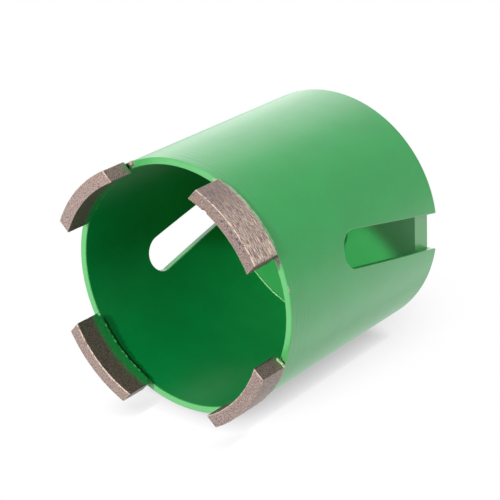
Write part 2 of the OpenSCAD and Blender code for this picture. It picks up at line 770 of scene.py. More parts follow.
@dataclass(frozen=True)
class Places:
    """Where a point of a segment lies, and the patterns there, as shader sockets.

    Attributes:
        moved: Object coordinates, shifted for this segment.
        along: Distance from the segment's middle along its length.
        across: The same without its sign.
        height: Height above the part's back face.
        radius: Distance from the part's axis.
        outside: 1 on the outer face.
        toward: 0 at the cool end and 1 at the warm one.
        at_end: 1 on the two end faces.
        tone: The slow mottle.
        grain: The grit.
        lines: The scores round the axis.
    """

    moved: Socket
    along: Socket
    across: Socket
    height: Socket
    radius: Socket
    outside: Socket
    toward: Socket
    at_end: Socket
    tone: Socket
    grain: Socket
    lines: Socket


@dataclass(frozen=True)
class SinteredMetal:
    """Sintered metal with diamond grit: pinkish brown, granular and porous, and oversprayed near its foot.

    Attributes:
        name: The material's name.
        size: Radii and heights of the segment.
        middle: Station of the segment's middle, in radians.
        wear: What sets this segment apart.
        foot: Height of the segment's foot above its seat, in metres.
        half_width: Half the segment's length between its ends, in metres.
        skin: How near a point is to a face that it counts as on it, in metres.
        blotch: Size of a tone patch, in metres.
        grit: Size of a grain, in metres.
        score: Width of a score, in metres.
        score_length: How many times longer than wide a score is.
        hole: Size of a patch of fine pores, in metres.
        gap: Size of a gap in a bright edge, in metres.
        thinning: How much thinner the overspray is on the two ends.
        relief: Height of the grain, in metres.
        pale: Colour of the light grains.
        brown: Colour of the dark grains.
        tip: What the wear on its tip leaves of the metal's colour.
        pore: Colour of the pores.
        warm: Colour of the orange patches.
        soot_and_shade: What the soot and the painted shade on the inner face and the ends leave of the
            metal's colour.
        bright: Colour of the worn edges, of the painted highlight along the outer foot edge, and of the
            painted sheen on the scores.
        spray: Colour of the paint on it.
    """

    name: str
    size: Turned
    middle: float
    wear: Wear
    foot: float = 0.45 * MM
    half_width: float = 12.0 * MM
    skin: float = 0.35 * MM
    blotch: float = 2.4 * MM
    grit: float = 0.30 * MM
    score: float = 0.12 * MM
    score_length: float = 14.0
    hole: float = 0.9 * MM
    gap: float = 1.0 * MM
    thinning: float = 0.42
    relief: float = 0.13 * MM
    pale: Colour = (0.60, 0.455, 0.395, 1.0)
    brown: Colour = (0.185, 0.124, 0.118, 1.0)
    tip: Colour = (0.72, 0.71, 0.72, 1.0)
    pore: Colour = (0.05, 0.035, 0.045, 1.0)
    warm: Colour = (0.46, 0.29, 0.17, 1.0)
    soot_and_shade: Colour = (0.20, 0.215, 0.185, 1.0)
    bright: Colour = (0.90, 0.70, 0.57, 1.0)
    spray: Colour = (0.003, 0.27, 0.05, 1.0)

    def toned(self, colour: Colour) -> Colour:
        """A colour of the metal at this segment's own lightness."""
        return tuple(value * self.wear.tone for value in colour[:3]) + (1.0,)

    def places(self, finish: Finish) -> Places:
        """Wires the coordinates and the patterns that the layers share.

        Args:
            finish: The material being wired.

        Returns:
            Their sockets.
        """
        w, wear = finish.wiring, self.wear
        moved = w.vector("ADD", finish.place, (wear.seed, wear.seed, 0.0)).outputs[0]
        mottle = finish.use(finish.effects.mottle, Place=moved, Blotch=self.blotch, Grain=self.grit)
        lathe = finish.use(finish.effects.lathe, Place=finish.place, Stretch=self.score_length)
        turned = w.add("VectorRotate", {"rotation_type": "Z_AXIS"}, Vector=finish.place, Angle=-self.middle)
        along = w.add("SeparateXYZ", Vector=turned.outputs[0]).outputs["Y"]
        across = w.math("ABSOLUTE", along)
        return Places(
            moved=moved,
            along=along,
            across=across,
            height=lathe["Height"],
            radius=lathe["Radius"],
            outside=w.above(lathe["Radius"], self.size.outer - self.skin),
            toward=w.step(w.times(along, wear.warm_end), -self.half_width, self.half_width),
            at_end=w.step(across, self.half_width - 0.30 * MM, self.half_width - 0.12 * MM),
            tone=mottle["Tone"],
            grain=mottle["Grain"],
            lines=w.noise(lathe["Lines"], self.score),
        )

    def metal(self, w: Wiring, at: Places, texture: Socket) -> Socket:
        """Colours the bare metal: grains, orange patches, pores and the scores on the outside, with painted
        shade towards the outer face's warm end and painted sheen on the scores towards its cool end.

        Args:
            w: The material's wiring.
            at: The segment's places and patterns.
            texture: The grain, or the scores on the outside.

        Returns:
            The colour.
        """
        wear, brown = self.wear, self.toned(self.brown)
        colour = w.mix(w.step(texture, 0.36, 0.62), brown, self.toned(self.pale))
        warmth = w.step(w.plus(at.tone, w.times(at.toward, 0.10)), 0.46, 0.72)
        warmth = w.times(warmth, w.minus(wear.rust, w.times(at.outside, 0.6)))
        colour = w.mix(w.most(warmth, 0.0), colour, self.toned(self.warm))
        holes = w.step(w.noise(at.moved, self.hole, detail=4.0, rough=0.65), 0.58, 0.72)
        colour = w.mix(w.times(holes, 0.75), colour, self.pore)
        # Painted shade on the outer face towards its warm end, and painted sheen on its scores towards its
        # cool end.
        dusk = w.times(at.outside, w.step(at.toward, 0.45, 1.05), 0.8 * wear.scores)
        colour = w.mix(dusk, colour, brown)
        gleam = w.times(at.outside, w.minus(1.45, w.times(at.toward, 1.3)), wear.scores)
        return w.mix(w.times(w.step(at.lines, 0.47, 0.60), gleam), colour, self.bright)

    def worn(self, finish: Finish, at: Places, colour: Socket) -> Socket:
        """Lays the wear over the metal: a dulled tip, large pores, and darkening inside and on the ends,
        which is soot and painted shade.

        Args:
            finish: The material being wired.
            at: The segment's places and patterns.
            colour: The bare metal's colour.

        Returns:
            The colour.
        """
        w, wear, size = finish.wiring, self.wear, self.size
        colour = w.mix(w.above(at.height, size.high - 0.2 * MM), colour, self.tip, "MULTIPLY")
        colour = finish.marked(colour, wear.pores, self.pore, ragged=1.8, share=0.8)
        within = w.below(at.radius, size.inner + self.skin)
        below_tip = w.below(at.height, size.high - 0.25 * MM)
        # Soot and painted shade on the inner face and the two ends.
        for face, share in ((within, wear.inside), (at.at_end, wear.ends)):
            colour = w.mix(w.times(face, below_tip, share), colour, self.soot_and_shade, "MULTIPLY")
        return colour

    @staticmethod
    def edge(w: Wiring, first: tuple[Socket, float], second: tuple[Socket, float], width: float) -> Socket:
        """Masks the line where two coordinates have their edge values.

        Args:
            w: The material's wiring.
            first: One coordinate, and its value on the edge.
            second: The other coordinate, and its value on the edge.
            width: How far from the edge the mask reaches, in metres.

        Returns:
            The mask.
        """
        away = w.add("CombineXYZ", X=w.minus(*first), Y=w.minus(*second))
        distance = w.vector("LENGTH", away.outputs[0]).outputs["Value"]
        return w.minus(1.0, w.step(distance, 0.45 * width, width))

    def edged(self, w: Wiring, at: Places, colour: Socket) -> Socket:
        """Brightens the worn edges, with gaps, and paints a highlight along the outer foot edge.

        Args:
            w: The material's wiring.
            at: The segment's places and patterns.
            colour: The metal's colour.

        Returns:
            The colour.
        """
        size = self.size
        outer, inner, ends = self.wear.edges
        outside, inside, end = (at.radius, size.outer), (at.radius, size.inner), (at.across, self.half_width)
        tip, foot = (at.height, size.high), (at.height, size.low + self.foot)
        broken = w.step(w.noise(at.moved, self.gap, detail=3.0, rough=0.7), 0.38, 0.54)
        for first, second, width, share in (
            (outside, tip, 0.36 * MM, outer),
            (inside, tip, 0.46 * MM, inner),
            (end, tip, 0.34 * MM, ends),
            (end, outside, 0.30 * MM, 0.5 * ends),
            # Painted highlight along the outer foot edge.
            (outside, foot, 0.46 * MM, outer),
        ):
            mask = self.edge(w, first, second, width)
            colour = w.mix(w.times(mask, broken, share), colour, self.bright)
        return colour

    def oversprayed(self, w: Wiring, at: Places, colour: Socket) -> Socket:
        """Lays the overspray that fades out above the foot, and is thinner on the ends.

        Args:
            w: The material's wiring.
            at: The segment's places and patterns.
            colour: The metal's colour.

        Returns:
            The colour.
        """
        foot, reach = self.size.low + self.foot, self.wear.spray * MM
        wander = w.plus(w.away_from(at.tone, 0.5, 1.4 * MM), w.away_from(at.grain, 0.5, 2.2 * MM))
        bare = w.step(w.plus(at.height, wander), foot + 0.40 * reach, foot + reach)
        behind = w.below(at.radius, self.size.outer - 0.5 * MM)
        thinned = w.minus(1.0, w.times(at.at_end, self.thinning))
        return w.mix(w.times(w.minus(1.0, bare), behind, thinned), colour, self.spray)

    def material(self, effects: SharedEffects) -> Material:
        """Wires the sintered metal.

        Args:
            effects: The shared groups.

        Returns:
            The material.
        """
        finish = Finish(self.name, effects)
        w = finish.wiring
        at = self.places(finish)
        texture = w.between(w.times(at.outside, self.wear.scores), at.grain, at.lines)
        colour = self.worn(finish, at, self.metal(w, at, texture))
        colour = self.oversprayed(w, at, self.edged(w, at, colour))
        finish.set(Base_Color=colour, Roughness=0.50, Metallic=0.1, IOR=1.5)
        finish.bump(texture, self.relief, 0.9)
        return finish.material


@dataclass(frozen=True)
class BareWeld:
    """Weld metal that the paint hardly covers, dull and uneven.

    Attributes:
        name: The material's name.
        colour: Colour of its light places.
        dark: Colour of its dark places.
        blotch: Size of a dark place, in metres.
        grain: Size of its grain, in metres.
        relief: Height of its grain, in metres.
    """

    name: str = "bare_weld"
    colour: Colour = (0.46, 0.37, 0.29, 1.0)
    dark: Colour = (0.10, 0.08, 0.06, 1.0)
    blotch: float = 0.8 * MM
    grain: float = 0.2 * MM
    relief: float = 0.05 * MM

    def material(self, effects: SharedEffects) -> Material:
        """Wires the weld.

        Args:
            effects: The shared groups.

        Returns:
            The material.
        """
        finish = Finish(self.name, effects)
        w = finish.wiring
        mottle = finish.use(effects.mottle, Place=finish.place, Blotch=self.blotch, Grain=self.grain)
        colour = w.mix(w.step(mottle["Tone"], 0.40, 0.65), self.colour, self.dark)
        finish.set(Base_Color=colour, Roughness=0.45, Metallic=0.2)
        finish.bump(mottle["Grain"], self.relief, 0.6)
        return finish.material


@dataclass
class Finishes:
    """The materials that more than one piece wears, wired once.

    Attributes:
        effects: The shared groups.
        paint: The barrel's paint.
        thin_paint_and_highlight: The thinner, lighter coat on edges and weld beads, which is also painted
            highlight there and on the rim's face and the plate's flats.
        plate_paint: The back plate's coat.
        shaded_bore_paint: The matter coat down in the bore, painted a darker green as shade.
        groove_shade: Painted shade: a dull dark coat down in the grooves beside the welds.
        weld: Bare weld metal.
        rubbed_paint_and_highlight: The coat rubbed down to the primer, pale also as a painted highlight along
            the segments' outer weld beads.
        ledge: Weld metal with a mist of paint.
    """

    effects: SharedEffects = field(default_factory=SharedEffects)
    paint: Material = field(init=False)
    thin_paint_and_highlight: Material = field(init=False)
    plate_paint: Material = field(init=False)
    shaded_bore_paint: Material = field(init=False)
    groove_shade: Material = field(init=False)
    weld: Material = field(init=False)
    rubbed_paint_and_highlight: Material = field(init=False)
    ledge: Material = field(init=False)

    def __post_init__(self) -> None:
        """Wires them."""
        coat = "green_powder_coat"
        dull = {"roughness": 0.7, "gloss": 0.2, "coat": 0.0}
        matt = {"roughness": 0.40, "gloss": 0.25, "coat": 0.0}
        kinds = {
            "paint": GreenPaint(coat),
            # Thinner coat, and painted highlight on edges, the rim's face, the plate's flats and weld beads.
            "thin_paint_and_highlight": GreenPaint(f"{coat}_edge", (0.072, 0.42, 0.104, 1.0), (0.060, 0.395, 0.096, 1.0)),
            "plate_paint": GreenPaint(f"{coat}_plate", (0.030, 0.355, 0.078, 1.0), (0.028, 0.33, 0.072, 1.0)),
            # Matter, and painted darker green as shade down in the bore.
            "shaded_bore_paint": GreenPaint(f"{coat}_bore", (0.0005, 0.296, 0.061, 1.0), (0.0005, 0.276, 0.057, 1.0),
                                     **matt),
            # Painted shade: near-black green down in the weld grooves.
            "groove_shade": GreenPaint("weld_groove_shade", (0.001, 0.11, 0.026, 1.0), (0.001, 0.08, 0.018, 1.0),
                                  **dull),
            "weld": BareWeld(),
            # Rubbed coat and painted highlight: the pale line along each segment's outer foot.
            "rubbed_paint_and_highlight": GreenPaint(f"{coat}_worn", (0.40, 0.52, 0.33, 1.0), (0.14, 0.42, 0.17, 1.0)),
            "ledge": BareWeld("weld_ledge", (0.55, 0.58, 0.36, 1.0), (0.20, 0.30, 0.14, 1.0)),
        }
        for name, kind in kinds.items():
            setattr(self, name, kind.material(self.effects))


# Welds


@dataclass(frozen=True)
class Bead:
    """A weld bead that follows an arc about the part's axis.

    Attributes:
        name: The piece's name.
        radius: Radius of the arc, in metres.
        height: Height of the arc, in metres.
        thickness: Half the bead's width, in metres.
        start: First angle, in radians.
        end: Last angle, in radians.
        lumps: How much the thickness wanders, as a share of it.
        seed: Chooses the lumps.
        spacing: Distance between its points, in metres.
    """

    name: str
    radius: float
    height: float
    thickness: float
    start: float
    end: float
    lumps: float = 0.3
    seed: int = 1
    spacing: float = 0.45 * MM

    def build(self) -> Piece:
        """Lays the bead as a curve whose thickness wanders and thins out at both ends, and makes it a mesh.

        Returns:
            The bead.
        """
        span = self.end - self.start
        count = max(8, int(span * self.radius / self.spacing))
        curve = bpy.data.curves.new(self.name, "CURVE")
        curve.dimensions = "3D"
        curve.bevel_depth = self.thickness
        curve.bevel_resolution = 3
        curve.use_fill_caps = True
        spline = curve.splines.new("POLY")
        spline.points.add(count - 1)
        for i, point in enumerate(spline.points):
            angle = self.start + span * i / (count - 1)
            wave = math.sin(1.7 * i + self.seed) + 0.7 * math.sin(0.61 * i + 2.3 * self.seed)
            ends = min(1.0, 0.35 + 0.2 * min(i, count - 1 - i))
            point.radius = ends * (1 + self.lumps * wave / 1.7)
            reach = self.radius + 0.25 * self.lumps * self.thickness * math.sin(1.1 * i + 3 * self.seed)
            point.co = (reach * math.cos(angle), reach * math.sin(angle), self.height, 1.0)
        bead = linked(self.name, curve)
        take(bead)
        bpy.ops.object.convert(target="MESH")
        smooth(bead, 60.0)
        return bead


@dataclass(frozen=True)
class Lump:
    """A small lump of weld on the rim.

    Attributes:
        name: The piece's name.
        mark: Where it sits and how large it is.
        stretch: How much longer it is along the radius, round the axis and up.
        turn: Angle of the radius that it is stretched along, in radians, where it isn't its own.
        rough: How lumpy it is, as a share of its size.
        grain: Size of one bump on it, as a share of its size.
    """

    name: str
    mark: Mark
    stretch: Triple = (1.0, 1.0, 1.0)
    turn: float | None = None
    rough: float = 0.9
    grain: float = 0.9

    def build(self) -> Piece:
        """Stretches a fine ball, makes it uneven and turns it to its station.

        Returns:
            The lump.
        """
        size = self.mark.size * MM
        turn = math.radians(self.mark.angle) if self.turn is None else self.turn
        lump = primitive(Stock.BALL, self.name, subdivisions=4, radius=size, scale=self.stretch)
        lump.data.transform(Matrix.Translation(self.mark.place()) @ about_axis(turn))
        displace(lump, self.name, self.grain * size, self.rough * size, layers=2, middle=0.6)
        smooth(lump, 60.0)
        return lump


# Sub-assemblies


@dataclass
class Barrel:
    """Steel tube, milled through from its back face along two slanted slots. Lengths are in metres.

    Attributes:
        size: Its radii and heights, from the frame.
        slot_w: Width of a slot.
        slot_reach: Height of the middle of a slot's round end.
        slot_slant: Slant of a slot from the axis, in radians.
        edge: Width of the broken edges.
        edge_steps: Facets across a broken edge.
        straight: How far from a slot's middle the sheet is laid by straight distance.
        strip: Width of the flats that the sheet is bent along.
        stations: Angles of the segments' middles, in radians.
        groove_r: Radius of the groove that a weld leaves in the bore.
        groove_drop: How far below the rim that groove runs.
        groove_half: Half the angle that it takes up, in radians.
    """

    size: Turned
    slot_w: float = 10.2 * MM
    slot_reach: float = 39.0 * MM
    slot_slant: float = math.radians(11.4)
    edge: float = 0.28 * MM
    edge_steps: int = 3
    straight: float = 12.0 * MM
    strip: float = 0.62 * MM
    stations: tuple[float, ...] = field(default_factory=lambda: tuple(station(node) for node in SEGMENTS))
    groove_r: float = 0.42 * MM
    groove_drop: float = 1.05 * MM
    groove_half: float = math.radians(18.5)

    @property
    def wall(self) -> float:
        """Thickness of the barrel's wall."""
        return self.size.outer - self.size.inner

    @property
    def half_sheet(self) -> float:
        """Half the width of the flat sheet that wraps round half of the barrel."""
        return self.straight + (math.pi / 2 - math.asin(self.straight / self.size.outer)) * self.size.outer

    def cutter(self, depth: float) -> Piece:
        """Makes the slot's cutter, lying along Y: a round front end and two parallel sides.

        Args:
            depth: Its length along Y.

        Returns:
            The cutter, with the slot's middle on X = 0 halfway up.
        """
        tool = primitive(Stock.CYLINDER, "slot_cutter", vertices=96, radius=self.slot_w / 2, depth=depth,
                         rotation=(math.pi / 2, 0, 0))
        with editing(tool):
            pick(tool, Pick.VERTS, lambda v: v.co.z < -1e-6)
            bpy.ops.transform.translate(value=(0, 0, -self.slot_reach - self.slot_w))
        off = math.tan(self.slot_slant) * self.slot_reach / 2
        slant = Matrix.Rotation(self.slot_slant, 4, "Y")
        tool.data.transform(Matrix.Translation((off, 0, self.slot_reach)) @ slant)
        return tool

    def wrapped(self, place: Vector) -> Vector:
        """Where a point of the flat sheet goes on the tube.

        Near a slot the sheet's X is the straight distance from the slot's middle, so that the slot's two
        sides stay parallel, as one cutter leaves them. Beyond that it runs evenly round to the seam.

        Args:
            place: X along the sheet, Y into its thickness, Z up.

        Returns:
            The point on the tube.
        """
        radius = self.size.outer - place.y
        flat = max(-self.straight, min(self.straight, place.x))
        angle = math.asin(flat / radius)
        share = abs(place.x - flat) / (self.half_sheet - self.straight)
        angle += math.copysign(share * (math.pi / 2 - abs(angle)), place.x)
        return Vector((radius * math.cos(angle), radius * math.sin(angle), place.z))

    def milled_sheet(self) -> Piece:
        """Cuts one slot into a flat sheet, breaks its edges and creases it for bending.

        Returns:
            The sheet, with its middle on X = 0 and open at both seams.
        """
        half, wall, length = self.half_sheet, self.wall, self.size.high
        seam, sharp = half - wall, math.radians(60)
        sheet = primitive(Stock.CUBE, "painted_barrel", size=1, location=(0, wall / 2, length / 2),
                          scale=(2 * half, wall, length))
        cut(sheet, self.cutter(4 * wall))
        with editing(sheet):
            pick(sheet, Pick.FACES, lambda f: abs(f.normal.x) > 0.99 and abs(f.calc_center_median().x) > seam)
            bpy.ops.mesh.delete(type="ONLY_FACE")
            pick(sheet, Pick.EDGES, lambda e: len(e.link_faces) == 2 and e.calc_face_angle() > sharp)
            bpy.ops.mesh.bevel(offset=self.edge, segments=self.edge_steps, affect="EDGES")
            # Broken edges take the lighter coat: thinner paint, and painted highlight.
            for face in bmesh.from_edit_mesh(sheet.data).faces:
                face.material_index = Coat.EDGE if face.select else Coat.BODY
            cuts = int(2 * half / self.strip)
            for i in range(1, cuts):
                bpy.ops.mesh.select_all(action="SELECT")
                bpy.ops.mesh.bisect(plane_co=(-half + 2 * half * i / cuts, 0, 0), plane_no=(1, 0, 0))
        return sheet

    def build(self) -> Piece:
        """Wraps the milled sheet round half the tube, joins two such halves and grooves the bore.

        Returns:
            The barrel.
        """
        barrel = self.milled_sheet()
        for vertex in barrel.data.vertices:
            vertex.co = self.wrapped(vertex.co)
        with editing(barrel):
            bpy.ops.mesh.select_all(action="SELECT")
            bpy.ops.mesh.duplicate()
            bpy.ops.transform.rotate(value=math.pi, orient_axis="Z", center_override=(0, 0, 0))
            bpy.ops.mesh.select_all(action="SELECT")
            bpy.ops.mesh.remove_doubles(threshold=0.004 * MM)
        # The rim's face takes the lighter coat as painted light, and the bore the darker one as painted
        # shade.
        for face in barrel.data.polygons:
            if face.material_index == Coat.BODY and face.center.z > self.size.high - 0.01 * MM:
                face.material_index = Coat.EDGE
            elif face.material_index == Coat.BODY and face.center.xy.length < self.size.inner + 0.01 * MM:
                face.material_index = Coat.BORE
        cut(barrel, *self.grooves())
        self.mark_grooves(barrel)
        smooth(barrel)
        return barrel

    def grooves(self) -> list[Piece]:
        """Makes the cutters for the uneven groove in the bore below each segment, where its weld stops."""
        radius, height = self.size.inner + NEAR, self.size.high - self.groove_drop
        return [
            Bead(f"groove_{i}", radius, height, self.groove_r, middle - self.groove_half,
                 middle + self.groove_half, lumps=0.35, seed=i + 3).build()
            for i, middle in enumerate(self.stations)
        ]

    def mark_grooves(self, barrel: Piece) -> None:
        """Gives the faces down in the grooves the dull dark coat that paints shade there."""
        low = self.size.high - self.groove_drop - 2 * self.groove_r
        high = self.size.high - 1.5 * self.edge
        for face in barrel.data.polygons:
            place = face.center
            turn = math.atan2(place.y, place.x)
            deep = self.size.inner + 0.03 * MM < place.xy.length < self.size.inner + 2 * self.groove_r
            near = any(abs(math.remainder(turn - middle, 2 * math.pi)) < self.groove_half
                       for middle in self.stations)
            if deep and near and low < place.z < high:
                face.material_index = Coat.GROOVE_SHADE

    def make(self, finishes: Finishes) -> Piece:
        """Builds the barrel and paints it, and returns it."""
        coats = (finishes.paint, finishes.thin_paint_and_highlight, finishes.shaded_bore_paint, finishes.groove_shade)
        return dressed(self.build(), coats, Slot.PAINT, "barrel")


@dataclass
class BackPlate:
    """Turned plate with its threaded boss, flush with the barrel's back face. Lengths are in metres.

    Attributes:
        size: Its radii and heights, from the frame.
        barrel: The barrel that it is welded into.
        plate_t: Thickness of the plate.
        boss_r: Radius of the boss.
        boss_foot: Radius turned where the boss rises from the plate.
        rim_edge: Chamfer round the plate, and rounding of the boss's mouth.
        thread_r: Radius to the thread's root.
        thread_depth: How deep the tap cuts below that radius.
        crest: Half the width of the tap's crest.
        pitch: Pitch of the thread.
        lead: Chamfer at both mouths of the thread.
        slot_bite: How far the slot's cutter went into the plate's rim.
    """

    size: Turned
    barrel: Barrel
    plate_t: float = 6.4 * MM
    boss_r: float = 9.4 * MM
    boss_foot: float = 0.4 * MM
    rim_edge: float = 0.5 * MM
    thread_r: float = 8.0 * MM
    thread_depth: float = 1.3 * MM
    crest: float = 0.125 * MM
    pitch: float = 2.0 * MM
    lead: float = 1.2 * MM
    slot_bite: float = 1.4 * MM

    def blank(self) -> Piece:
        """Turns the plate and its boss, and bores it.

        Returns:
            The blank, with a plain bore.
        """
        size = self.size
        plate = primitive(Stock.CYLINDER, "back_plate_threaded", vertices=288, radius=size.outer,
                          depth=self.plate_t, location=(0, 0, self.plate_t / 2))
        rise = size.high - self.plate_t
        with editing(plate):
            pick(plate, Pick.FACES, lambda f: f.normal.z > 0.9)
            bpy.ops.mesh.inset(thickness=size.outer - self.boss_r)
            bpy.ops.mesh.extrude_region_move(TRANSFORM_OT_translate={"value": (0, 0, rise)})
            bpy.ops.mesh.inset(thickness=self.boss_r - size.inner)
            pick(plate, Pick.FACES, lambda f: f.normal.z < -0.9)
            bpy.ops.mesh.inset(thickness=size.outer - size.inner)
            pick(plate, Pick.FACES, lambda f: abs(f.normal.z) > 0.9 and len(f.verts) > 4
                 and f.calc_center_median().xy.length < MM)
            bpy.ops.mesh.bridge_edge_loops()
            self.round_off(plate, size.outer, (0.0, self.plate_t), self.rim_edge, 2)
            self.round_off(plate, self.boss_r, (self.plate_t,), self.boss_foot, 8)
            self.round_off(plate, self.boss_r, (size.high,), self.rim_edge, 3)
            self.round_off(plate, size.inner, (0.0, size.high), self.lead, 1)
        return plate

    @staticmethod
    def round_off(plate: Piece, radius: float, heights: tuple[float, ...], width: float,
                  steps: int) -> None:
        """Bevels the circles of one radius.

        Args:
            plate: The piece in edit mode.
            radius: The circles' radius.
            heights: Their heights.
            width: Width of the bevel.
            steps: Its segments.
        """

        def on_circle(edge: bmesh.types.BMEdge) -> bool:
            """Says whether both ends of an edge lie on one of the circles."""
            return any(
                all(abs(v.co.xy.length - radius) < NEAR and abs(v.co.z - z) < NEAR for v in edge.verts)
                for z in heights
            )

        pick(plate, Pick.EDGES, on_circle)
        bpy.ops.mesh.bevel(offset=width, segments=steps, affect="EDGES")

    def tap(self) -> Piece:
        """Makes the tap that cuts the spindle thread: one helical ridge.

        Returns:
            The tap, longer than the bore at both ends.
        """
        root, neck = self.thread_r, self.thread_r - self.thread_depth
        flank = self.crest + self.thread_depth * math.tan(math.radians(30))
        turns = math.ceil(self.size.high / self.pitch) + 2
        profile = ((neck, -flank), (root, -self.crest), (root, self.crest), (neck, flank))
        tap = outline("tap", [(r, 0, z - self.pitch) for r, z in profile], closed_face=False)
        apply(tap, Tool.THREAD, axis="Z", screw_offset=self.pitch, iterations=turns, steps=64,
              render_steps=64, use_merge_vertices=True, merge_threshold=0.001 * MM)
        with editing(tap):
            bpy.ops.mesh.select_all(action="SELECT")
            bpy.ops.mesh.fill_holes(sides=0)
            bpy.ops.mesh.select_all(action="SELECT")
            bpy.ops.mesh.normals_make_consistent(inside=False)
        return tap

    def flat_cutters(self) -> list[Piece]:
        """Makes the cutters that mill a flat into the plate's rim, square to the slot's middle there.

        Returns:
            One cutter for each slot.
        """
        reach = 6 * MM
        floor = self.barrel.size.inner - self.slot_bite
        off = math.tan(self.barrel.slot_slant) * (self.barrel.slot_reach - self.plate_t) / 2
        tools = []
        for turn in (0.0, math.pi):
            tool = self.barrel.cutter(reach)
            lay = Matrix.Translation((floor + reach / 2, off, 0)) @ about_axis(math.pi / 2)
            tool.data.transform(about_axis(turn - math.asin(off / floor)) @ lay)
            tools.append(tool)
        return tools

    def build(self) -> Piece:
        """Turns, bores and threads the plate, and mills its two flats.

        Returns:
            The plate.
        """
        plate = self.blank()
        cut(plate, self.tap(), *self.flat_cutters())
        least, nearest, furthest = MM * MM, self.boss_r + MM, self.size.outer - 0.5 * MM
        # The plate's flats and upright faces take the lighter coat as painted highlight.
        for face in plate.data.polygons:
            upright = abs(face.normal.z) < 0.5
            if upright and face.area > least and nearest < face.center.xy.length < furthest:
                face.material_index = Coat.EDGE
        smooth(plate, 35.0)
        return plate

    def make(self, finishes: Finishes) -> Piece:
        """Builds the plate and paints it, and returns it."""
        coats = (finishes.plate_paint, finishes.thin_paint_and_highlight)
        return dressed(self.build(), coats, Slot.PAINT, "back_plate")

    def welds(self, finishes: Finishes) -> list[Piece]:
        """Lays the painted beads between plate and barrel, from one slot to the other, inside and behind.

        Args:
            finishes: The materials.

        Returns:
            The four beads.
        """
        barrel = self.barrel
        slant, bore = math.tan(barrel.slot_slant), barrel.size.inner
        half_slot = barrel.slot_w / 2 / math.cos(barrel.slot_slant)
        beads = []
        for side, height, radius, thickness in (
            ("inner", self.plate_t + 0.1 * MM, bore - 0.1 * MM, 0.50 * MM),
            ("back", 0.5 * MM, self.size.outer, 0.42 * MM),
        ):
            middle = slant * (height - barrel.slot_reach / 2)
            start = math.asin((middle + half_slot) / bore)
            end = math.pi + math.asin((middle - half_slot) / bore)
            for number in (0, 1):
                turn = math.pi * number
                bead = Bead(f"plate_weld_{side}_{number + 1}", radius, height, thickness, start + turn,
                            end + turn, lumps=0.12, seed=number + 5).build()
                beads.append(dressed(bead, (finishes.thin_paint_and_highlight,), Slot.PAINT))
        return beads


